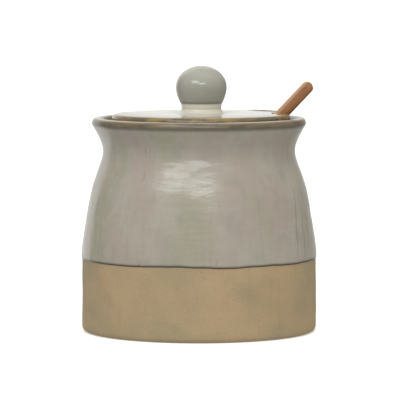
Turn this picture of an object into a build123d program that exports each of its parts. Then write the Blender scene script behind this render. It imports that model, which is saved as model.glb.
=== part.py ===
from build123d import *
import math
import os

# Stoneware sugar pot with an inset lid, and a wooden spoon that leans out through a notch in the lid.
# Lengths are in millimetres. The pot stands on its foot at height 0, its axis is the Z axis, and the
# spoon leans towards +X. Sizes of the clay are without glaze: every glaze coat stands proud of it.

# Pot: wall, floor and foot
wall = 4.5  # measured level
floor_thickness = 5.0
floor_corner = 10.0  # inside rounding between the floor and the wall
foot_corner = 2.2  # rounding under the bare band
foot_ring = 8.5  # width of the ring that the pot stands on
foot_recess = 1.8  # hollow inside that ring
foot_slope = 1.5  # how far the recess's side leans in

# Pot: outer wall from the foot to the lip, each height counted from the one before
band_radius = 53.85  # clay at the edge of the glaze
band_height = 33.6  # bare clay below that edge
band_bulge = 0.25
foot_inset = 0.1  # the foot is this much narrower than the band's top
belly_rise = 19.0
belly_inset = 2.45
shoulder_rise = 13.6
shoulder_inset = 2.5
neck_rise = 9.4
neck_inset = 3.2
waist_rise = 7.2
lip_rise = 12.5
band_slope = -0.03  # outward slope of the wall at the edge of the glaze
lip_slope = 0.5  # outward slope of the wall where it meets the lip

# Pot: mouth, seat and lip
throat_radius = 37.7  # opening inside the seat
seat_proud = 1.65  # how far the seat's inner face stands in from the waist's inside
seat_depth = 3.2  # height of that face
seat_arris = 0.9  # rounding of the seat's inner edge
gallery_depth = 2.3  # from the lip's crest down to the seat
gallery_lean = 2.1  # how far the wall round the seat leans out over that depth
lip_face = 2.2  # height of the lip's outer face
lip_lean = 0.45  # how far that face leans in
lip_width = 5.6  # from the seat's outer corner to the lip's outer edge
lip_round = 1.0

# Glaze
glaze = 0.4  # thickness of every coat
bare_edge = 0.8  # the coats stop this far short of the clay that seats

# Lid
lid_overlap = 2.9  # how far the lid reaches over the seat
lid_play = 2.6  # gap round the lid's clay when it is centred
lid_shift = 1.1  # the lid lies off centre by this much, within that play
lid_thickness = 4.3
lid_dish = 0.5  # the top sinks by this much towards the knob
lid_edge_round = 1.3
lid_foot_round = 0.4
underside_margin = 1.2  # gap between the underside's glaze and the throat, with the lid shifted

# Knob
stem_foot_radius = 10.1
stem_radius = 8.75
stem_rise = 3.2  # from the lid up to the narrowest point
crease_rise = 2.3  # from there up to the crease under the ball
ball_radius = 11.35
ball_crown = 9.55  # centre of the ball to its top
ball_under = 13.2  # radius of its fuller underside, from the widest point down to the crease
ball_rise = 7.3  # from the crease up to the centre of the ball

# Spoon
spoon_length = 141.0
handle_thickness = 5.45
handle_width = 8.6  # at the end
handle_waist = 7.0  # where it leaves the bowl
handle_round = 1.9  # rounding of its long edges
handle_end_round = 3.2
bowl_length = 40.0
bowl_width = 26.0
bowl_depth = 8.2
hollow_rim = 2.2  # width of the rim at the sides
hollow_end_rim = 4.0  # width of the rim at the two ends
hollow_depth = 5.6
tip_angle = 25.0  # degrees below the floor corner's centre at which the tip lies
tip_clearance = 0.6  # kept between the tip and the glaze inside the pot
spoon_clearance = 0.35  # kept between the handle and the seat's edge
notch_clearance = 0.8  # kept above the handle in the lid's notch
notch_side_clearance = 1.2
notch_round = 2.0

# Heights and radii that follow
floor_height = foot_recess + floor_thickness
belly_height = band_height + belly_rise
shoulder_height = belly_height + shoulder_rise
neck_height = shoulder_height + neck_rise
waist_height = neck_height + waist_rise
lip_height = waist_height + lip_rise
crest_height = lip_height + lip_face
seat_height = crest_height - gallery_depth
foot_radius = band_radius - foot_inset
foot_ring_radius = foot_radius - foot_corner - foot_ring
belly_radius = band_radius - belly_inset
shoulder_radius = belly_radius - shoulder_inset
neck_radius = shoulder_radius - neck_inset
waist_radius = throat_radius + seat_proud + wall
lid_radius = throat_radius + lid_overlap
seat_radius = lid_radius + lid_play
gallery_radius = seat_radius + gallery_lean
lip_radius = seat_radius + lip_width
underside_radius = throat_radius - lid_shift - underside_margin
lid_edge_height = seat_height + lid_thickness
lid_top_height = lid_edge_height - lid_dish
stem_height = lid_top_height + stem_rise
crease_height = stem_height + crease_rise
ball_height = crease_height + ball_rise
reach = spoon_length + band_radius  # longer than any cut through the lid has to be

# The spoon's top face lies in one plane, from its tip in the floor's corner to the end of its handle.
# The handle's underside clears the rounded inner edge of the seat, and that sets how far it leans.
corner_x = floor_corner - (band_radius - wall)
corner_z = floor_height + floor_corner
tip_reach = floor_corner - glaze - tip_clearance
tip_x = corner_x - tip_reach * math.cos(math.radians(tip_angle))
tip_z = corner_z - tip_reach * math.sin(math.radians(tip_angle))
arris_x = throat_radius + seat_arris
arris_z = seat_height - seat_arris
arris_distance = math.hypot(arris_x - tip_x, arris_z - tip_z)
arris_offset = handle_thickness + spoon_clearance + seat_arris
lean = math.atan2(arris_z - tip_z, arris_x - tip_x) + math.asin(arris_offset / arris_distance)
along = Vector(math.cos(lean), 0, math.sin(lean))
upward = Vector(-math.sin(lean), 0, math.cos(lean))

# Sections of the pot are drawn with radius as x and height as y, and so are those of the lid, which
# turn about the lid's own axis. The spoon is drawn from its tip, in plan, in side view and end on.
pot_section = Plane.XZ
lid_section = Plane(origin=(lid_shift, 0, 0), x_dir=(1, 0, 0), z_dir=(0, -1, 0))
lid_axis = Axis((lid_shift, 0, 0), (0, 0, 1))
spoon_plan = Plane(origin=(tip_x, 0, tip_z), x_dir=along, z_dir=upward)
spoon_side = Plane(origin=(tip_x, 0, tip_z), x_dir=along, z_dir=(0, -1, 0))
spoon_end = Plane(origin=(tip_x, 0, tip_z), x_dir=(0, 1, 0), z_dir=along)

os.makedirs("parts", exist_ok=True)


def pot_outside(coat):
    """Glazed outside, a coat's thickness over the clay: wall, sharp lip, crest, and down to the seat."""
    bare_lean = gallery_lean * bare_edge / gallery_depth
    with BuildLine() as profile:
        Spline(
            (band_radius + coat, band_height),
            (belly_radius + coat, belly_height),
            (shoulder_radius + coat, shoulder_height),
            (neck_radius + coat, neck_height),
            (waist_radius + coat, waist_height),
            (lip_radius + coat, lip_height),
            tangents=[(band_slope, 1), (lip_slope, 1)],
        )
        FilletPolyline(
            (lip_radius + coat, lip_height),
            (lip_radius - lip_lean + coat, crest_height + coat),
            (gallery_radius - coat, crest_height + coat),
            (seat_radius + bare_lean - coat, seat_height + bare_edge),
            radius=lip_round,
        )
    return profile.line


def pot_inside(coat):
    """Glazed inside, a coat's thickness over the clay: floor, rounded corner, and wall up to the seat."""
    with BuildLine() as profile:
        FilletPolyline(
            (0, floor_height + coat),
            (band_radius - wall - coat, floor_height + coat),
            (band_radius - wall - coat, band_height),
            radius=floor_corner - coat,
        )
        Spline(
            (band_radius - wall - coat, band_height),
            (belly_radius - wall - coat, belly_height),
            (shoulder_radius - wall - coat, shoulder_height),
            (neck_radius - wall - coat, neck_height),
            (waist_radius - wall - coat, waist_height),
            (throat_radius - coat, seat_height - seat_depth),
            tangents=[(0, 1), (0, 1)],
        )
    return profile.line


def lid_outside(coat):
    """Glazed outside of the lid, a coat's thickness over the clay: its edge, and its top to the stem."""
    with BuildLine() as profile:
        FilletPolyline(
            (lid_radius + coat, seat_height + bare_edge),
            (lid_radius + coat, lid_edge_height + coat),
            (stem_foot_radius + coat, lid_top_height + coat),
            radius=lid_edge_round + coat,
        )
    return profile.line


def knob_outside(coat):
    """Glazed outside of the knob, a coat's thickness over the clay: stem, crease, and ball to its top."""
    crease_angle = math.asin(ball_rise / (ball_under + coat))
    crease_radius = ball_radius - ball_under + (ball_under + coat) * math.cos(crease_angle)
    halfway = math.sin(math.radians(45))
    with BuildLine() as profile:
        Spline(
            (stem_foot_radius + coat, lid_top_height + coat),
            (stem_radius + coat, stem_height),
            (crease_radius, crease_height),
        )
        CenterArc(
            (ball_radius - ball_under, ball_height),
            ball_under + coat,
            start_angle=-math.degrees(crease_angle),
            arc_size=math.degrees(crease_angle),
        )
        Spline(
            (ball_radius + coat, ball_height),
            ((ball_radius + coat) * halfway, ball_height + (ball_crown + coat) * halfway),
            (0, ball_height + ball_crown + coat),
            tangents=[(0, 1), (-1, 0)],
        )
    return profile.line


def notch_outline(margin):
    """Notch seen along the handle, open below it, with a margin all round beyond its clearance."""
    half_width = handle_width / 2 + notch_side_clearance + margin
    top = notch_clearance + margin
    with BuildSketch(spoon_end) as outline:
        with BuildLine():
            FilletPolyline(
                (-half_width, -reach),
                (-half_width, top),
                (half_width, top),
                (half_width, -reach),
                radius=notch_round + margin,
            )
            Line((half_width, -reach), (-half_width, -reach))
        make_face()
    return outline.sketch


def spindle_rise(width, depth):
    """Height above the bowl's rim of the axis about which an arc turns into that width and depth."""
    return (width * width / 4 - depth * depth) / (2 * depth)


def spindle_section(inset, depth, rise):
    """Side view of the form turned about that axis: an arc, its ends this far in from the bowl's ends."""
    with BuildSketch(spoon_side) as section:
        with BuildLine():
            ThreePointArc((inset, 0), (bowl_length / 2, -depth), (bowl_length - inset, 0))
            Polyline(
                (bowl_length - inset, 0),
                (bowl_length - inset, rise),
                (inset, rise),
                (inset, 0),
            )
        make_face()
    return section.sketch


# Pot: one thrown piece of stoneware, with its foot ring and its seat for the lid
clay_outside = pot_outside(0)
clay_inside = pot_inside(0)
with BuildPart() as pot_body:
    with BuildSketch(pot_section):
        with BuildLine():
            add([clay_outside, clay_inside])
            FilletPolyline(
                clay_outside @ 1,
                (seat_radius, seat_height),
                (throat_radius, seat_height),
                clay_inside @ 1,
                radius=[0, seat_arris],
            )
            Polyline(
                clay_inside @ 0,
                (0, foot_recess),
                (foot_ring_radius - foot_slope, foot_recess),
                (foot_ring_radius, 0),
                (foot_radius - foot_corner, 0),
            )
            RadiusArc(
                (foot_radius - foot_corner, 0),
                (foot_radius, foot_corner),
                -foot_corner,
            )
            ThreePointArc(
                (foot_radius, foot_corner),
                (foot_radius + band_bulge, (foot_corner + band_height) / 2),
                clay_outside @ 0,
            )
        make_face()
    revolve(axis=Axis.Z)
pot_body.part.label = "pot_body"
export_step(pot_body.part, "parts/pot_body.step")

# Outer glaze: the coat that the pot was dipped in, from the bare band over the lip
coat_outside = pot_outside(glaze)
with BuildPart() as outer_glaze:
    with BuildSketch(pot_section):
        with BuildLine():
            add([clay_outside, coat_outside])
            Line(clay_outside @ 0, coat_outside @ 0)
            Line(clay_outside @ 1, coat_outside @ 1)
        make_face()
    revolve(axis=Axis.Z)
outer_glaze.part.label = "outer_glaze"
export_step(outer_glaze.part, "parts/outer_glaze.step")

# Liner glaze: the coat poured inside, up to the bare seat
coat_inside = pot_inside(glaze)
with BuildPart() as liner_glaze:
    with BuildSketch(pot_section):
        with BuildLine():
            add([clay_inside, coat_inside])
            Line(clay_inside @ 0, coat_inside @ 0)
            Line(clay_inside @ 1, coat_inside @ 1)
        make_face()
    revolve(axis=Axis.Z)
liner_glaze.part.label = "liner_glaze"
export_step(liner_glaze.part, "parts/liner_glaze.step")

# Lid plate: the disc that lies on the seat, with the spoon's notch cut in from its edge
clay_notch = notch_outline(glaze)
with BuildPart() as lid_plate:
    with BuildSketch(lid_section):
        with BuildLine():
            FilletPolyline(
                (0, seat_height),
                (lid_radius, seat_height),
                (lid_radius, lid_edge_height),
                (stem_foot_radius, lid_top_height),
                radius=[lid_foot_round, lid_edge_round],
            )
            Polyline(
                (stem_foot_radius, lid_top_height),
                (0, lid_top_height),
                (0, seat_height),
            )
        make_face()
    revolve(axis=lid_axis)
    extrude(clay_notch, amount=reach, mode=Mode.SUBTRACT)
lid_plate.part.label = "lid_plate"
export_step(lid_plate.part, "parts/lid_plate.step")

# Lid knob: a solid ball on a flared stem, made apart and stuck on with slip
clay_knob = knob_outside(0)
with BuildPart() as lid_knob:
    with BuildSketch(lid_section):
        with BuildLine():
            add(clay_knob)
            Polyline(clay_knob @ 1, (0, lid_top_height), clay_knob @ 0)
        make_face()
    revolve(axis=lid_axis)
lid_knob.part.label = "lid_knob"
export_step(lid_knob.part, "parts/lid_knob.step")

# Lid glaze: one coat over the top, the edge, the walls of the notch and the knob
coat_notch = notch_outline(0)
coat_lid = lid_outside(glaze)
coat_knob = knob_outside(glaze)
with BuildPart() as lid_glaze:
    with BuildSketch(lid_section):
        with BuildLine():
            add([coat_lid, coat_knob])
            Polyline(coat_knob @ 1, (0, seat_height + bare_edge), coat_lid @ 0)
        make_face()
    revolve(axis=lid_axis)
    extrude(coat_notch, amount=reach, mode=Mode.SUBTRACT)
    add([lid_plate.part, lid_knob.part], mode=Mode.SUBTRACT)
lid_glaze.part.label = "lid_glaze"
export_step(lid_glaze.part, "parts/lid_glaze.step")

# Underside glaze: the coat inside the bare ring on which the lid rests
with BuildPart() as lid_liner_glaze:
    with BuildSketch(Plane.XY.offset(seat_height)):
        with Locations((lid_shift, 0)):
            Circle(underside_radius)
    extrude(amount=-glaze)
    extrude(clay_notch, amount=reach, mode=Mode.SUBTRACT)
lid_liner_glaze.part.label = "lid_liner_glaze"
export_step(lid_liner_glaze.part, "parts/lid_liner_glaze.step")

# Spoon: one piece of wood, a tapered handle that runs into a shallow oval bowl
bowl_rise = spindle_rise(bowl_width, bowl_depth)
hollow_rise = spindle_rise(bowl_width - 2 * hollow_rim, hollow_depth)
bowl_axis = Axis(spoon_side.from_local_coords((0, bowl_rise)), along)
hollow_axis = Axis(spoon_side.from_local_coords((0, hollow_rise)), along)
bowl_form = spindle_section(0, bowl_depth, bowl_rise)
hollow_form = spindle_section(hollow_end_rim, hollow_depth, hollow_rise)
with BuildPart() as spoon:
    with BuildSketch(spoon_plan):
        with BuildLine():
            Polyline(
                (bowl_length - hollow_end_rim, -handle_waist / 2),
                (spoon_length, -handle_width / 2),
                (spoon_length, handle_width / 2),
                (bowl_length - hollow_end_rim, handle_waist / 2),
                close=True,
            )
        make_face()
        fillet(vertices().sort_by(Axis.X)[-2:], radius=handle_end_round)
    extrude(amount=-handle_thickness)
    rims = faces().filter_by(Axis((0, 0, 0), upward)).edges().sort_by(bowl_axis)
    fillet(rims[2:], radius=handle_round)
    revolve(bowl_form, axis=bowl_axis)
    split(bisect_by=spoon_plan, keep=Keep.BOTTOM)
    revolve(hollow_form, axis=hollow_axis, mode=Mode.SUBTRACT)
spoon.part.label = "spoon"
export_step(spoon.part, "parts/spoon.step")
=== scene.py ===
import math
import bmesh
import bpy
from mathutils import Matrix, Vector, noise
from mathutils.geometry import interpolate_bezier


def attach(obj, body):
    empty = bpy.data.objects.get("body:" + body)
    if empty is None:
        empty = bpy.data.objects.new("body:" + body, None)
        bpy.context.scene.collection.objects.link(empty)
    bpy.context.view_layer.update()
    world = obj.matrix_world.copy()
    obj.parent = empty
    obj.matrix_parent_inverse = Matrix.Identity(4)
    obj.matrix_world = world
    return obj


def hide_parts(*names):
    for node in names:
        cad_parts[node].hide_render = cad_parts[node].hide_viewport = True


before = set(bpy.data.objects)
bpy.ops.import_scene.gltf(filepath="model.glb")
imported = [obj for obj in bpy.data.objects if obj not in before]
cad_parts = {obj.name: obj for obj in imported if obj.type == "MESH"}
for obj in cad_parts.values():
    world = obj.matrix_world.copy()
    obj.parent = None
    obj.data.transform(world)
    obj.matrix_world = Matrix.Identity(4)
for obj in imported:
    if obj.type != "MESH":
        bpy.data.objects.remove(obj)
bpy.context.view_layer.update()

# Pot
# Buff stoneware, thrown on the wheel and pressed here and there by hand while it was soft. It has a
# turned foot ring, a band left bare above it, a flared neck and, inside the lip, a seat for the lid.
mm = 0.001
pot_turns = 144
dip_height = 33.6


def pull(start, leaving, arriving, end, count):
    """Points along one pull of the clay, as radius and height, from its start up to its end."""
    ends = [Vector((*point, 0)) for point in (start, leaving, arriving, end)]
    return [(point.x, point.y) for point in interpolate_bezier(*ends, count + 1)[:-1]]


def throw(outline, turns, centre=0, closed=False, **marks):
    """A form turned about an upright axis, with the marks of its outline stored at its points."""
    form = bmesh.new()
    layers = {name: form.verts.layers.float.new(name) for name in marks}
    points = [form.verts.new(((radius + centre) * mm, 0, height * mm)) for radius, height in outline]
    for name, layer in layers.items():
        for point, value in zip(points, marks[name]):
            point[layer] = value
    for pair in zip(points, points[1:] + points[:1] if closed else points[1:]):
        form.edges.new(pair)
    bmesh.ops.spin(form, geom=form.verts[:] + form.edges[:], cent=(centre * mm, 0, 0), axis=(0, 0, 1),
                   angle=math.tau, steps=turns, use_merge=True)
    bmesh.ops.remove_doubles(form, verts=form.verts[:], dist=0.001 * mm)
    bmesh.ops.recalc_face_normals(form, faces=form.faces[:])
    return form


def fade(value, low, high):
    """0 below low and 1 above high, with a soft rise between them."""
    share = min(max((value - low) / (high - low), 0), 1)
    return share * share * (3 - 2 * share)


palm_size = 31
thumb_size = 12
finger_size = 6.5
ring_pitch = 7.5
ring_depth = 0.12


def press(form):
    """Moves the outside in where a hand pressed it, and the inside out along the throwing rings."""
    outer = form.verts.layers.float["outside"]
    inner = form.verts.layers.float["rings"]
    for point in form.verts:
        x, y, z = point.co / mm
        radius = max(math.hypot(x, y), 0.001)
        palm = noise.noise(Vector((x, y, z)) / palm_size)
        thumb = noise.noise(Vector((x, y, 1.6 * z)) / thumb_size + Vector((3.3, 7.1, 1.9)))
        finger = noise.noise(Vector((x, y, 2.1 * z)) / finger_size + Vector((8.2, 1.4, 4.4)))
        hold = fade(z, 2, 22) * (1 - 0.75 * fade(z, 84, 95))
        depth = point[outer] * hold * max(0.22 + 0.3 * palm + 0.2 * thumb + 0.15 * finger, 0)
        swell = ring_depth * math.sin(math.tau * (z + radius) / ring_pitch + math.atan2(y, x))
        ring = point[inner] * (ring_depth + swell)
        on_wall = fade(radius, 30, 42)
        share = (radius - depth + ring * on_wall) / radius
        point.co = Vector((x * share, y * share, z - ring * (1 - on_wall))) * mm


def fired(name, form, body, node, skin, smooth_levels):
    """The finished piece: its mesh and its finish, fixed to its body, with the node that it stands in
    for hidden.
    """
    mesh = bpy.data.meshes.new(name)
    form.to_mesh(mesh)
    form.free()
    mesh.shade_smooth()
    mesh.materials.append(skin)
    piece = bpy.data.objects.new(name, mesh)
    bpy.context.scene.collection.objects.link(piece)
    if smooth_levels:
        rounding = piece.modifiers.new("rounding", "SUBSURF")
        rounding.levels = smooth_levels
        rounding.render_levels = smooth_levels
    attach(piece, body)
    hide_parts(node)
    return piece


# The outline runs from the foot's recess up the outside, over the lip and the seat and down the inside
# to the middle of the floor. Its points are radii and heights in millimetres.
recess = 1.8
band_radius = 53.85
belly_top = (48.9, 66.2)
throat = (43.85, 82.8)
lip_start = (48.8, 95.3)
seat_height = 95.2
seat_radius = 37.7
inner_throat = (39.35, 82.8)
inner_belly = (44.4, 66.2)
inner_radius = 49.35
corner_height = 16.8
floor_radius = 39.35
floor_height = 6.8

foot = [(0, recess), (14, recess), (28, recess), (38, recess), (41.4, recess), (41.8, 1.6)]
foot += [(42.9, 0.15), (43.25, 0), (45.5, 0), (48.5, 0), (50.9, 0), (51.7, 0.08), (52.55, 0.42)]
foot += [(53.25, 1.0), (53.62, 1.7)]
foot += pull((53.75, 2.6), (53.86, 9.5), (54.08, 23.0), (band_radius, 33.2), 11)
wall = pull((band_radius, dip_height), (53.64, 40.45), (50.2, 61.31), belly_top, 14)
wall[1:1] = [(band_radius, 33.75), (53.84, 34.1), (53.82, 34.8)]
wall += pull(belly_top, (46.74, 74.33), (43.86, 78.48), throat, 8)
wall += pull(throat, (43.84, 87.18), (46.92, 91.55), lip_start, 7)
lip = [(48.62, 94.92), lip_start, (48.72, 95.7), (48.5, 96.6), (48.22, 97.15), (47.65, 97.45)]
lip += [(46.9, 97.52), (46.15, 97.5), (45.6, 97.42), (45.1, 97.2), (44.6, 96.7), (43.93, 96.0)]
seat = [(43.35, 95.36)] + [(radius, seat_height) for radius in (43.1, 42.4, 40.4, 38.9)]
seat += [(38.2, 95.1), (37.8, 94.7), (seat_radius, 94.2), (seat_radius, 93.2)]
inside = pull((seat_radius, 92.0), (seat_radius, 88.04), (38.61, 85.56), inner_throat, 4)
inside += pull(inner_throat, (41.5, 74.6), (43.1, 71.2), inner_belly, 7)
inside += pull(inner_belly, (45.82, 61.31), (inner_radius, 39.47), (inner_radius, dip_height), 14)
inside += pull(*((inner_radius, height) for height in (dip_height, 28.0, 22.4, corner_height)), 7)
inside += pull((inner_radius, corner_height), (inner_radius, 11.28), (44.87, floor_height),
               (floor_radius, floor_height), 7)
inside += [(radius, floor_height) for radius in (39, 36, 33, 30, 27, 24, 21, 18, 15, 12, 9, 6, 3, 0)]


def shade(red, green, blue):
    """A colour as it is seen on the piece, from 0 to 255, made ready for a shader."""
    linear = []
    for part in (red / 255, green / 255, blue / 255):
        linear.append(part / 12.92 if part < 0.04045 else ((part + 0.055) / 1.055) ** 2.4)
    return (*linear, 1)


def finish(name):
    """A new finish, with its nodes, its main shader and the place of each point on the piece."""
    made = bpy.data.materials.new(name)
    made.use_nodes = True
    nodes = made.node_tree
    place = nodes.nodes.new("ShaderNodeTexCoord").outputs["Object"]
    return made, nodes, nodes.nodes["Principled BSDF"], place


def step(nodes, kind, feeds, result=0, **settings):
    """One step of a finish: a node, what feeds it, and the socket that carries its result."""
    node = nodes.nodes.new(kind)
    for setting, value in settings.items():
        setattr(node, setting, value)
    for socket, feed in feeds.items():
        if isinstance(feed, bpy.types.NodeSocket):
            nodes.links.new(feed, node.inputs[socket])
        else:
            node.inputs[socket].default_value = feed
    return node.outputs[result]


def cloud(nodes, place, size, tall=1, shift=0, detail=2):
    """Soft cloudiness whose patches are size mm wide and so many times as tall."""
    placed = step(nodes, "ShaderNodeMapping", {"Vector": place, "Scale": (1, 1, 1 / tall),
                                               "Location": (shift, shift, shift)})
    feeds = {"Vector": placed, "Scale": 1 / (size * mm), "Detail": detail}
    return step(nodes, "ShaderNodeTexNoise", feeds)


def ease(nodes, value, low, high, to_low=0.0, to_high=1.0):
    """The value, eased from one range to another and held at its ends."""
    feeds = {"Value": value, "From Min": low, "From Max": high, "To Min": to_low, "To Max": to_high}
    return step(nodes, "ShaderNodeMapRange", feeds, interpolation_type="SMOOTHSTEP")


def sums(nodes, kind, *feeds):
    """A sum of the named kind, of one, two or three values."""
    return step(nodes, "ShaderNodeMath", dict(enumerate(feeds)), operation=kind)


def wash(nodes, share, under, over):
    """One colour laid over another by a share."""
    return step(nodes, "ShaderNodeMix", {0: share, 6: under, 7: over}, result=2, data_type="RGBA")


def height_of(nodes, place):
    """Only the height of a place."""
    return step(nodes, "ShaderNodeSeparateXYZ", {0: place}, result=2)


# Bare clay is dry and fine-grained, warmer where the flame touched it and greener in the lee of it.
clay, nodes, surface, place = finish("bare_stoneware")
toast = cloud(nodes, place, 21, tall=0.8, detail=3)
blush = cloud(nodes, place, 12, shift=0.4, detail=3)
colour = wash(nodes, ease(nodes, toast, 0.33, 0.67), shade(158, 142, 110), shade(172, 149, 114))
colour = wash(nodes, ease(nodes, blush, 0.55, 0.75, 0, 0.45), colour, shade(173, 140, 106))
grain = cloud(nodes, place, 0.7, detail=4)
colour = wash(nodes, ease(nodes, grain, 0.3, 0.7, 0.16, 0), colour, shade(112, 98, 74))
smear = cloud(nodes, place, 2.6, tall=7, shift=0.2, detail=3)
colour = wash(nodes, ease(nodes, smear, 0.58, 0.8, 0, 0.2), colour, shade(130, 114, 84))
pits = step(nodes, "ShaderNodeTexVoronoi", {"Vector": place, "Scale": 1 / (5 * mm)})
colour = wash(nodes, ease(nodes, pits, 0.03, 0.09, 0.45, 0), colour, shade(96, 82, 60))
nodes.links.new(colour, surface.inputs["Base Color"])
nodes.links.new(ease(nodes, grain, 0.3, 0.7, 0.82, 0.68), surface.inputs["Roughness"])
rough = step(nodes, "ShaderNodeBump", {"Height": grain, "Strength": 0.35, "Distance": 0.12 * mm})
nodes.links.new(rough, surface.inputs["Normal"])

pot_outline = foot + wall + lip + seat + inside
outside = [1.0] * len(foot + wall + lip) + [0.0] * len(seat + inside)
rings = [0.0] * len(foot + wall + lip + seat) + [1.0] * len(inside)
form = throw(pot_outline, pot_turns, outside=outside, rings=rings)
press(form)
fired("thrown_pot", form, "pot", "pot_body", clay, 1)

# Outer glaze
# The pot was dipped upside down in a grey reactive glaze that runs down in faint streaks, breaks brown
# on the lip and ends on the bare clay in a thin dark line, its own dark edge with a painted shadow of
# the coat's edge. Under the lip it carries a painted shade and a painted dark line of shade in the
# corner.
coat = 0.4
bite = 0.05


def coated(outline, thickness):
    """The outline moved off the clay by the thickness of a coat, which may change along it."""
    befores = [outline[0]] + outline
    afters = outline[1:] + [outline[-1]]
    moved = []
    for before, here, after, off in zip(befores, outline, afters, thickness):
        run = Vector(after) - Vector(before)
        away = Vector((run.y, -run.x)).normalized()
        moved.append(tuple(Vector(here) + off * away))
    return moved


def reactive_glaze(name, grey, rosy, green, lift, browns, shine, runs=()):
    """Glossy glaze, cloudy and streaked, that breaks brown, stays cream, and darkens in painted shade
    and dark lines where marked.
    """
    made, nodes, surface, place = finish(name)
    drift = cloud(nodes, place, 19, tall=1.5, detail=3)
    colour = wash(nodes, ease(nodes, drift, 0.4, 0.6), grey, rosy)
    side = cloud(nodes, place, 30, tall=2.2, shift=0.13, detail=2)
    colour = wash(nodes, ease(nodes, side, 0.5, 0.64, 0, 0.85), colour, green)
    float_up = cloud(nodes, place, 7, tall=1.2, shift=0.31, detail=3)
    colour = wash(nodes, ease(nodes, float_up, 0.56, 0.74, 0, 0.5), colour, lift)
    mottle = cloud(nodes, place, 8, tall=1.3, shift=0.53, detail=2)
    colour = wash(nodes, ease(nodes, mottle, 0.5, 0.7, 0, 0.28), colour, shade(136, 140, 132))
    streak = cloud(nodes, place, 2.4, tall=14, shift=0.07, detail=3)
    colour = wash(nodes, ease(nodes, streak, 0.52, 0.7, 0, 0.2), colour, shade(140, 134, 116))
    parts = nodes.nodes.new("ShaderNodeSeparateXYZ")
    nodes.links.new(place, parts.inputs[0])
    height = parts.outputs["Z"]
    back = sums(nodes, "MULTIPLY", parts.outputs["Y"], -1.0)
    turn = sums(nodes, "ARCTAN2", parts.outputs["X"], back)
    sway = ease(nodes, cloud(nodes, place, 9, tall=1.5), 0.3, 0.7, -0.02, 0.02)
    for aim, low, high, lean in runs:
        line = sums(nodes, "MULTIPLY_ADD", height, lean / mm, sway)
        gap = sums(nodes, "SUBTRACT", turn, line)
        gap = sums(nodes, "SUBTRACT", gap, math.radians(aim))
        gap = sums(nodes, "ABSOLUTE", gap)
        begun = ease(nodes, height, low * mm, (low + 1.5) * mm)
        ended = ease(nodes, height, (high - 0.3 * (high - low)) * mm, high * mm, 1, 0)
        reach = sums(nodes, "MULTIPLY", begun, ended)
        thread = sums(nodes, "MULTIPLY", reach, ease(nodes, gap, 0.003, 0.013, 0.38, 0))
        colour = wash(nodes, thread, colour, shade(112, 106, 88))
    mark = {key: step(nodes, "ShaderNodeAttribute", {}, result=2, attribute_name=key)
            for key in ("cream", "shade_of_lip", "breaks", "pools")}
    colour = wash(nodes, mark["cream"], colour, shade(212, 206, 190))
    # Painted shade: a darker, browner grey where marked.
    colour = wash(nodes, mark["shade_of_lip"], colour, shade(140, 131, 114))
    patchy = ease(nodes, cloud(nodes, place, 9, tall=0.3, detail=2), 0.38, 0.62)
    brown = wash(nodes, patchy, *browns)
    colour = wash(nodes, mark["breaks"], colour, brown)
    # Dark lines where marked: the glaze's own dark edge with a painted shadow at the dip, a painted line
    # of shade under the lip, and a dark ring in the knob's crease.
    colour = wash(nodes, mark["pools"], colour, shade(62, 60, 50))
    nodes.links.new(colour, surface.inputs["Base Color"])
    nodes.links.new(ease(nodes, drift, 0.3, 0.7, *shine), surface.inputs["Roughness"])
    brushed = cloud(nodes, place, 7, tall=0.35, shift=0.2, detail=3)
    ripple = 25 * shine[0] ** 3 * mm
    skin = step(nodes, "ShaderNodeBump", {"Height": brushed, "Strength": 1.0, "Distance": ripple})
    nodes.links.new(skin, surface.inputs["Normal"])
    return made


# Each run has its turn from the front in degrees, the heights between which it shows, and its lean.
glaze_runs = [(52, 35, 72, 0.0021), (58.5, 35, 58, 0.0018), (61, 77, 87, 0.001), (66, 45, 72, 0.0012)]
glaze_runs += [(-31, 32, 36, 0), (-32, 71, 76, 0), (-32.7, 83, 87, 0), (-71, 40, 64, -0.001)]
glaze_runs += [(8, 34, 37.5, 0), (128, 34, 66, 0), (171, 34, 52, 0), (-140, 50, 80, 0)]
glaze_runs += [(-112, 34, 60, 0)]
pot_glaze = reactive_glaze("reactive_glaze", grey=shade(162, 157, 144), rosy=shade(160, 150, 139),
                           green=shade(153, 149, 131), lift=shade(167, 163, 149),
                           browns=(shade(95, 86, 70), shade(114, 101, 80)), shine=(0.2, 0.26),
                           runs=glaze_runs)

clay_face = wall + lip
thickness = [0.06, 0.24, 0.37] + [coat] * (len(clay_face) - 5) + [0.3, 0.1]
skin_out = coated(clay_face, thickness)
skin_in = coated(clay_face, [-bite] * len(clay_face))[::-1]
# Under the lip the glaze gets a faint painted shade, darker and browner.
under_lip = [0.05 * fade(height, 82, 92) for radius, height in clay_face]
on_lip = [0.0] * (len(wall) + 1) + [0.8, 1.0, 1.0, 0.8, 0.25, 0.05, 0.08, 0.2, 0.5, 0.8, 0.9]
# A thin dark line where the glaze ends on the bare clay, its own dark edge with a painted shadow of the
# coat's edge, and a painted line of shade in the corner under the lip.
dark = [1.0, 0.95, 0.75, 0.1] + [0.0] * (len(wall) - 4) + [0.6, 0.45] + [0.0] * (len(lip) - 2)
blank = [0.0] * len(clay_face)
form = throw(skin_out + skin_in, pot_turns, closed=True, outside=[1.0] * (2 * len(clay_face)),
             rings=blank + blank, shade_of_lip=under_lip + blank, breaks=on_lip + blank,
             pools=dark + blank)
dip_wander = 0.55
for point in form.verts:
    turn = Vector((point.co.x, point.co.y, 0)).normalized()
    wander = noise.noise(turn * 2.3) + 0.4 * noise.noise(turn * 9)
    near_dip = 1 - fade(point.co.z / mm, dip_height + 1, dip_height + 7)
    point.co.z += dip_wander * mm * wander * near_dip
press(form)
fired("dipped_glaze", form, "pot", "outer_glaze", pot_glaze, 1)

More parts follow.
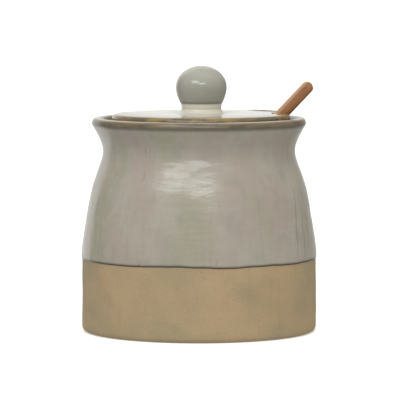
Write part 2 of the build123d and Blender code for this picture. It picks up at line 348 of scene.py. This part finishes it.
# Liner glaze
# A creamier glaze was poured in and out again. It covers the floor and the wall up to the bare seat,
# and it is thin enough that the throwing rings of the clay still show through it.
liner, nodes, surface, place = finish("liner_glaze")
drift = cloud(nodes, place, 14, detail=3)
colour = wash(nodes, ease(nodes, drift, 0.38, 0.62), shade(172, 168, 150), shade(186, 180, 160))
speck = step(nodes, "ShaderNodeTexVoronoi", {"Vector": place, "Scale": 1 / (4 * mm)})
colour = wash(nodes, ease(nodes, speck, 0.04, 0.1, 0.5, 0), colour, shade(112, 98, 72))
thin_edge = ease(nodes, height_of(nodes, place), 0.0895, 0.0918)
colour = wash(nodes, thin_edge, colour, shade(132, 110, 76))
nodes.links.new(colour, surface.inputs["Base Color"])
nodes.links.new(ease(nodes, drift, 0.3, 0.7, 0.1, 0.2), surface.inputs["Roughness"])
waves = cloud(nodes, place, 3)
ripple = step(nodes, "ShaderNodeBump", {"Height": waves, "Strength": 0.2, "Distance": 0.1 * mm})
nodes.links.new(ripple, surface.inputs["Normal"])

poured_out = coated(inside, [0.05, 0.25] + [coat] * (len(inside) - 2))
poured_out[-1] = (0, floor_height + coat)
poured_in = coated(inside, [-bite] * len(inside))[::-1]
poured_in[0] = (0, floor_height - bite)
form = throw(poured_in + poured_out, pot_turns, outside=[0.0] * (2 * len(inside)),
             rings=[1.0] * (2 * len(inside)))
press(form)
fired("poured_glaze", form, "pot", "liner_glaze", liner, 1)

# Lid clay
# The lid is a turned disc with a bare ring underneath, and its knob was thrown separately and stuck on.
# The clay shows only on that ring and inside the edge of the notch, because glaze covers the rest.
for name in ("lid_plate", "lid_knob"):
    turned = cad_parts[name].data
    turned.materials.clear()
    turned.materials.append(clay)
poured_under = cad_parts["lid_liner_glaze"].data
poured_under.materials.clear()
poured_under.materials.append(liner)

# Lid glaze
# One coat over the disc, its edge, the notch for the spoon and the knob. It breaks golden brown along
# the edges, stays cream on the stem and is darker in a ring in the crease under the ball. Its top is
# painted darker and browner towards the rim, a painted shade.
lid_centre = 1.1
lid_radius = 41.0
lid_under = 96.0
lid_over = 99.9
dome_height = 99.93
edge_rounding = 0.85
notch_half = 5.5
notch_end = 28.78
notch_middle = 36
notch_lean = 3.69
mouth_rounding = 1.3
corner_rounding = 2.0
crease = 105
ball_height = 111.8
ball_radius = 11.75
knob_top = 121.75
lid_axis = Vector((lid_centre, 0, 0)) * mm


def lid_top(out, turn=90):
    """Height of the lid's top. It sinks towards the knob and the rim and falls off in a soft shoulder
    at the edge, but stays fuller beside the notch, where the clay under it is sharp."""
    clear = fade(abs(turn), 20, 40)
    by_knob = 0.3 * (max(20 - out, 0) / 8) ** 2
    by_rim = (0.22 + 0.14 * clear) * (max(out - 23, 0) / 17) ** 2
    shoulder = 0.26 * clear * (max(out - 39.3, 0) / 0.85) ** 2
    return dome_height - by_knob - by_rim - shoulder


def on_lid(place):
    """A place as seen from the lid's axis: its offset and distance in mm, and its turn in degrees."""
    at = (place - lid_axis) / mm
    return at, math.hypot(at.x, at.y), math.degrees(math.atan2(at.y, at.x))


top_rings = (39.72, 39.3, 38.9, 38.4, 37.3, 36, 34.2, 32.2, 30, 28, 25, 22, 19, 16, 13)
knob = [(out, lid_top(out)) for out in top_rings]
knob += [(11.5, 99.6), (10.75, 99.7), (10.25, 100.05), (9.75, 100.75), (9.3, 101.5), (9.15, 102.3)]
knob += [(9.2, 103.1), (9.32, 103.8), (9.4, 104.25), (9.52, 104.5), (9.78, 104.85), (10.15, 105.6)]
# The crease under the ball is marked darker in a ring.
knob_pools = [0.0] * (len(knob) - 4) + [0.2, 0.45, 0.3, 0.05]
knob_cream = [0.0] * (len(knob) - 11) + [0.3, 0.75, 0.95, 1.0, 0.6, 1.0, 1.0, 0.9, 0.2, 0.0, 0.0]
ball = pull((10.3, 105.9), (11.1, 107.4), (ball_radius, 109.5), (ball_radius, ball_height), 6)
ball += pull((ball_radius, ball_height), (ball_radius, 117.3), (6.6, knob_top), (0, knob_top), 16)
ball += [(0, knob_top)]
plain = [0.0] * len(ball)
blank = [0.0] * len(knob + ball)
form = throw(knob + ball, pot_turns, centre=lid_centre, pools=knob_pools + plain,
             cream=knob_cream + plain, breaks=blank, shade_of_lip=blank)
breaks = form.verts.layers.float["breaks"]
painted_rim_shade = form.verts.layers.float["shade_of_lip"]
ball_middle = Vector((lid_centre * mm, 0, ball_height * mm))
for point in form.verts:
    if point.co.z > crease * mm:
        palm = noise.noise(point.co / (9 * mm) + Vector((5.1, 0.7, 2.2)))
        dent = 0.012 * max(0.5 + palm, 0) * fade(point.co.z / mm, crease, crease + 3)
        point.co = ball_middle + (point.co - ball_middle) * (1 - dent)

# A wedge is left out of the turned top round the notch, for a patch that follows the notch's outline.
wedge_start = 28
wedge_half = 17.5
wedge = []
for face in form.faces:
    at, out, turn = on_lid(face.calc_center_median())
    if out > wedge_start and abs(turn) < wedge_half:
        wedge.append(face)
bmesh.ops.delete(form, geom=wedge, context="FACES")
dish_rim = [edge for edge in form.edges if edge.is_boundary]

# The disc's outline runs round from one side of the notch to the other, and in along the notch's walls.
first = math.radians(12.5)
start = Vector((lid_radius * math.cos(first), lid_radius * math.sin(first), lid_under)) * mm
outline = [form.verts.new(lid_axis + start)]
round_edge = bmesh.ops.spin(form, geom=outline, cent=lid_axis, axis=(0, 0, 1),
                            angle=math.tau - 2 * first, steps=pot_turns - 10)
last = next(thing for thing in round_edge["geom_last"] if isinstance(thing, bmesh.types.BMVert))
mouth = math.sqrt(lid_radius ** 2 - notch_half ** 2)
corners = [form.verts.new(lid_axis + Vector((out, side, lid_under)) * mm)
           for out, side in ((mouth, -notch_half), (notch_middle, -notch_half),
                             (notch_end, -notch_half), (notch_end, 0), (notch_end, notch_half),
                             (notch_middle, notch_half), (mouth, notch_half))]
for pair in zip([last] + corners, corners + outline):
    form.edges.new(pair)
for points, rounding in ((corners[2:5:2], corner_rounding), (corners[::6], mouth_rounding)):
    bmesh.ops.bevel(form, geom=list(points), offset=rounding * mm, offset_type="OFFSET",
                    segments=5, profile=0.5, affect="VERTICES", material=-1)
low_edges = [edge for edge in form.edges if all(point.co.z < 97 * mm for point in edge.verts)]
floor_face = bmesh.ops.contextual_create(form, geom=low_edges)["faces"]
risen = bmesh.ops.extrude_face_region(form, geom=floor_face)["geom"]
for point in risen:
    if isinstance(point, bmesh.types.BMVert):
        point.co.z = lid_over * mm
        at = (point.co - lid_axis) / mm
        if at.x < notch_end + 2.1 and at.x > notch_end - 1 and abs(at.y) < notch_half + 0.1:
            point.co.x += notch_lean * mm
top = next(face for face in risen if isinstance(face, bmesh.types.BMFace))
bmesh.ops.bevel(form, geom=top.edges[:], offset=edge_rounding * mm, offset_type="OFFSET",
                segments=5, profile=0.5, affect="EDGES", material=-1)

# The coat's edge and the notch's walls are bent to the curve of the top, and are marked to break brown.
for point in form.verts:
    at, out, turn = on_lid(point.co)
    if at.z < 100 and (out > 39.9 or out > wedge_start + 0.1 and abs(turn) < wedge_half - 0.5):
        point[breaks] = 0.0 if at.z > 99.89 else 1 - 0.2 * fade(at.z, 99, 99.85)
        point.co.z -= (lid_over - lid_top(out, turn)) * mm * fade(at.z, 97, 99)

# The top is closed in two halves, between the disc's rim and the turned top, and divided finely enough
# to follow its curve. Points on the top itself are the ones that have no brown marked on them yet.
wide = [face for face in form.faces if len(face.verts) > 60]
wide.sort(key=lambda face: face.calc_center_median().z)
rims = wide[-1].edges[:] + dish_rim
bmesh.ops.delete(form, geom=wide, context="FACES_ONLY")
halfway = {point for edge in rims for point in edge.verts if abs(point.co.y) < 0.001 * mm}
halfway = sorted(halfway, key=lambda point: point.co.x)
seams = [form.edges.new(halfway[:2]), form.edges.new(halfway[2:])]
for side in (1, -1):
    half = [edge for edge in rims if side * sum(point.co.y for point in edge.verts) > 0]
    filled = bmesh.ops.contextual_create(form, geom=half + seams)["faces"]
    bmesh.ops.triangulate(form, faces=filled, quad_method="BEAUTY", ngon_method="BEAUTY")
longest_span = 1.7
for halving in range(4):
    spans = []
    for edge in form.edges:
        at, out, turn = on_lid((edge.verts[0].co + edge.verts[1].co) / 2)
        on_top = at.z > 99 and all(point[breaks] == 0 for point in edge.verts)
        if on_top and out > wedge_start + 0.2 and edge.calc_length() > longest_span * mm:
            spans.append(edge)
    bmesh.ops.subdivide_edges(form, edges=spans, cuts=1)
    patch = [face for face in form.faces if len(face.verts) > 4]
    bmesh.ops.triangulate(form, faces=patch, quad_method="BEAUTY", ngon_method="BEAUTY")
    loose = []
    for point in form.verts:
        at, out, turn = on_lid(point.co)
        in_wedge = wedge_start + 0.2 < out < 39.8 and abs(turn) < wedge_half - 0.2
        beside = abs(at.y) > notch_half + 1.2 or at.x < notch_end + notch_lean - 1.25
        if at.z > 99 and in_wedge and beside:
            loose.append(point)
    for relaxing in range(6):
        inner = list({edge for point in loose for edge in point.link_edges})
        faces = list({face for point in loose for face in point.link_faces})
        bmesh.ops.beautify_fill(form, faces=faces, edges=inner, method="ANGLE")
        bmesh.ops.smooth_vert(form, verts=loose, factor=0.5, use_axis_x=True, use_axis_y=True)

# Beyond the notch the rim stands up in a low ridge, and the glaze is thin and brown there.
ridge_rise = 0.42
for point in form.verts:
    at, out, turn = on_lid(point.co)
    if 99 < at.z < 100 and out > wedge_start + 0.1:
        if point[breaks] == 0:
            point.co.z = lid_top(out, turn) * mm
        beyond = fade(turn, 15, 27) * (1 - fade(turn, 48, 62))
        point.co.z += ridge_rise * beyond * fade(out, 38.88, 39.3) * mm
        worn = (beyond * fade(out, 38.3, 38.9), 0.4 * fade(out, 33, 38.4), 0.65 * fade(out, 39.6, 40.1))
        point[breaks] = max(point[breaks], *worn)
    # From 25 mm out, the top is painted darker and browner towards the rim: a painted shade.
    if 99 < at.z < 100 and out > 20:
        point[painted_rim_shade] = fade(out, 25, 36)
bmesh.ops.recalc_face_normals(form, faces=form.faces[:])

lid_coat = reactive_glaze("lid_reactive_glaze", grey=shade(157, 157, 149), rosy=shade(159, 156, 146),
                          green=shade(151, 151, 139), lift=shade(170, 169, 159),
                          browns=(shade(93, 80, 57), shade(140, 116, 71)), shine=(0.11, 0.15))
lid_dress = fired("lid_and_knob_glaze", form, "lid", "lid_glaze", lid_coat, 0)
shell = lid_dress.modifiers.new("shell", "SOLIDIFY")
shell.thickness = 0.35 * mm

# Spoon
# One piece of oiled hardwood, cut and sanded round: a shallow oval bowl, a neck that thins out from it,
# and a flat handle that widens slowly to a rounded end. It stands on its tip and leans out of the notch.
spoon_tip = Vector((-47.507, 0, 12.996)) * mm
along = Vector((0.68709, 0, 0.726573))
upward = Vector((-0.726573, 0, 0.68709))
spoon_length = 141.0
spoon_neck = 36
handle_thickness = 5.45
end_rounding = 3.2
bowl_middle = 20
bowl_half_length = 20
bowl_spread = 8.2
bowl_rise = 6.205
hollow_half_length = 16
hollow_spread = 5.6
hollow_rise = 7.614


def arc_depth(run, half, deep):
    """Depth of a shallow arc at a distance from its middle."""
    bend = (half * half + deep * deep) / (2 * deep)
    return math.sqrt(bend * bend - run * run) - (bend - deep) if abs(run) < half else 0.0


def handle_half(run):
    """Half the handle's width at a distance from the spoon's tip."""
    past = run - spoon_neck
    taper = 3.5 + 0.8 * past / 105 + 2.2 * math.exp(-max(past, 0) / 4.5)
    rounding = run - (spoon_length - end_rounding)
    if rounding > 0:
        taper += math.sqrt(max(end_rounding ** 2 - rounding ** 2, 0)) - end_rounding
    return taper


def rounded(inward, radius):
    """How far a rounded edge falls away at a distance in from it."""
    gap = max(radius - max(inward, 0), 0)
    return radius - math.sqrt(radius * radius - gap * gap)


form = bmesh.new()
bmesh.ops.create_grid(form, x_segments=72, y_segments=12, size=1)
risen = bmesh.ops.extrude_face_region(form, geom=form.faces[:])["geom"]
upper = {point for point in risen if isinstance(point, bmesh.types.BMVert)}
for point in form.verts:
    share = (point.co.x + 1) / 2
    run = 0.6 + (spoon_length - 0.6) * (share - 0.8 * math.sin(math.tau * share) / math.tau)
    deep = arc_depth(run - bowl_middle, bowl_half_length, bowl_spread)
    bowl_half = math.sqrt(deep * deep + 2 * bowl_rise * deep)
    half = max(bowl_half, handle_half(run)) if run > spoon_neck else bowl_half
    side = math.sin(point.co.y * math.pi / 2) * half
    inward = min(half - abs(side), spoon_length - run)
    handle = fade(run, 32, 46)
    end = rounded(spoon_length - run, 2.7)
    top = -max(rounded(inward, 0.45 + 1.45 * handle), end)
    hollow = arc_depth(run - bowl_middle, hollow_half_length, hollow_spread)
    if hollow > 0:
        sweep = math.sqrt(max((hollow_rise + hollow) ** 2 - side * side, hollow_rise ** 2))
        top = min(top, hollow_rise - sweep)
    bowl_under = bowl_rise - math.sqrt(max((bowl_rise + deep) ** 2 - side * side, bowl_rise ** 2))
    handle_under = max(rounded(inward, 1.9), end) - handle_thickness
    bottom = min(bowl_under + (handle_under - bowl_under) * handle, top - 0.12)
    rise = top if point in upper else bottom
    point.co = spoon_tip + (along * run + upward * rise) * mm + Vector((0, side, 0)) * mm
bmesh.ops.recalc_face_normals(form, faces=form.faces[:])

wood, nodes, surface, place = finish("oiled_wood")
lean = math.atan2(along.z, along.x)
grain_way = step(nodes, "ShaderNodeMapping", {"Vector": place, "Rotation": (0, lean, 0)})
fibre = step(nodes, "ShaderNodeMapping", {"Vector": grain_way, "Scale": (0.06, 1, 1)})
bands = step(nodes, "ShaderNodeTexNoise", {"Vector": fibre, "Scale": 1 / (2.2 * mm), "Detail": 3,
                                           "Distortion": 0.4})
strands = step(nodes, "ShaderNodeTexNoise", {"Vector": fibre, "Scale": 1 / (0.35 * mm), "Detail": 3})
colour = wash(nodes, ease(nodes, bands, 0.35, 0.65), shade(132, 88, 50), shade(159, 111, 68))
colour = wash(nodes, ease(nodes, strands, 0.35, 0.7, 0.35, 0), colour, shade(118, 72, 42))
pores = step(nodes, "ShaderNodeMapping", {"Vector": grain_way, "Scale": (0.12, 1, 1)})
pore = step(nodes, "ShaderNodeTexVoronoi", {"Vector": pores, "Scale": 1 / (0.8 * mm)})
colour = wash(nodes, ease(nodes, pore, 0.1, 0.25, 0.5, 0), colour, shade(92, 54, 32))
# The handle's upper face, just below its top, is painted lighter: a painted highlight.
level = upward.dot(spoon_tip)
painted_upper_highlight = ease(nodes, height_of(nodes, grain_way), level - 1.7 * mm, level - 0.5 * mm, 0, 0.6)
colour = wash(nodes, painted_upper_highlight, colour, shade(192, 154, 120))
nodes.links.new(colour, surface.inputs["Base Color"])
nodes.links.new(ease(nodes, strands, 0.3, 0.7, 0.5, 0.38), surface.inputs["Roughness"])
raised = step(nodes, "ShaderNodeBump", {"Height": strands, "Strength": 0.3, "Distance": 0.1 * mm})
nodes.links.new(raised, surface.inputs["Normal"])
fired("wooden_spoon", form, "spoon", "spoon", wood, 2)

# Table top
# A wide pale table top under soft light from above, which keeps it almost white behind the pot.
table_top, nodes, surface, place = finish("pale_table_top")
surface.inputs["Base Color"].default_value = (0.86, 0.86, 0.86, 1)
surface.inputs["Roughness"].default_value = 0.9
surface.inputs["Emission Color"].default_value = (1, 1, 1, 1)
surface.inputs["Emission Strength"].default_value = 0.3
form = bmesh.new()
bmesh.ops.create_grid(form, x_segments=4, y_segments=4, size=40)
mesh = bpy.data.meshes.new("table_top")
form.to_mesh(mesh)
form.free()
mesh.materials.append(table_top)
floor = bpy.data.objects.new("table_top", mesh)
bpy.context.scene.collection.objects.link(floor)
floor.visible_diffuse = False
floor.visible_glossy = False


def lamp(name, kind, energy, place, aim, **settings):
    """A lamp at a place, turned towards what it lights."""
    light = bpy.data.lights.new(name, kind)
    light.energy = energy
    for setting, value in settings.items():
        setattr(light, setting, value)
    stand = bpy.data.objects.new(name, light)
    bpy.context.scene.collection.objects.link(stand)
    stand.location = place
    stand.rotation_euler = (Vector(aim) - Vector(place)).to_track_quat("-Z", "Y").to_euler()
    return stand


# Two soft boxes stand before the pot, a larger one to the left of the camera and a lower one near it.
# An even light comes from above, and casts no glint.
for name, energy, place, width, height in (("left_soft_box", 4.2, (-0.541, -0.901, 0.865), 0.72, 0.36),
                                           ("near_soft_box", 3.0, (0.0995, -1.138, 0.70), 0.62, 0.2)):
    soft_box = lamp(name, "AREA", energy, place, (0, 0, 0.08), shape="RECTANGLE",
                    size=width, size_y=height)
    soft_box.visible_camera = False
overhead = lamp("overhead", "SUN", 1.7, (0, 0, 2), (0, 0, 0), angle=math.radians(70))
overhead.visible_glossy = False

# The studio's walls: the glaze mirrors a white sweep behind the pot, with dim flags at both sides of
# it, while pale walls and a bright floor light the pot and the camera sees plain white.
studio = bpy.data.worlds.new("studio")
bpy.context.scene.world = studio
studio.use_nodes = True
nodes = studio.node_tree
looking = nodes.nodes.new("ShaderNodeTexCoord").outputs["Generated"]
split = nodes.nodes.new("ShaderNodeSeparateXYZ")
nodes.links.new(looking, split.inputs[0])
turn = sums(nodes, "ARCTAN2", split.outputs["X"], split.outputs["Y"])
left = ease(nodes, turn, math.radians(-47), math.radians(-43))
half_dim = ease(nodes, turn, math.radians(8), math.radians(24), 1, 0.27)
right = sums(nodes, "MULTIPLY", half_dim, ease(nodes, turn, math.radians(34), math.radians(39), 1, 0))
below_top = ease(nodes, split.outputs["Z"], 0.75, 0.85, 1, 0)
sweep = sums(nodes, "MULTIPLY", sums(nodes, "MULTIPLY", left, right), below_top)
white = wash(nodes, ease(nodes, split.outputs["Z"], 0.03, 0.15), (1, 1, 0.99, 1), (0.93, 0.925, 0.89, 1))
mirrored = wash(nodes, sweep, (0.15, 0.15, 0.145, 1), white)
lit = wash(nodes, ease(nodes, split.outputs["X"], -1, 1), (0.62, 0.62, 0.62, 1), (0.75, 0.735, 0.70, 1))
lit = wash(nodes, ease(nodes, split.outputs["Z"], -0.9, -0.2, 0.45, 0), lit, (1, 1, 1, 1))
ray = nodes.nodes.new("ShaderNodeLightPath")
air = wash(nodes, ray.outputs["Is Glossy Ray"], lit, mirrored)
air = wash(nodes, ray.outputs["Is Camera Ray"], air, (1, 1, 1, 1))
nodes.links.new(air, nodes.nodes["Background"].inputs["Color"])
bpy.context.scene.view_settings.view_transform = "Standard"

# Camera
# It stands well back at a little over the pot's height, and looks down on the lid by a few degrees.
lens = bpy.data.cameras.new("camera")
lens.lens = 293.13
lens.sensor_width = 36
lens.clip_end = 100
camera = bpy.data.objects.new("camera", lens)
camera.location = (0.00046, -1.490, 0.1755)
camera_tilt = 4.434
camera.rotation_euler = (math.radians(90 - camera_tilt), 0, 0)
bpy.context.scene.collection.objects.link(camera)
bpy.context.scene.camera = camera
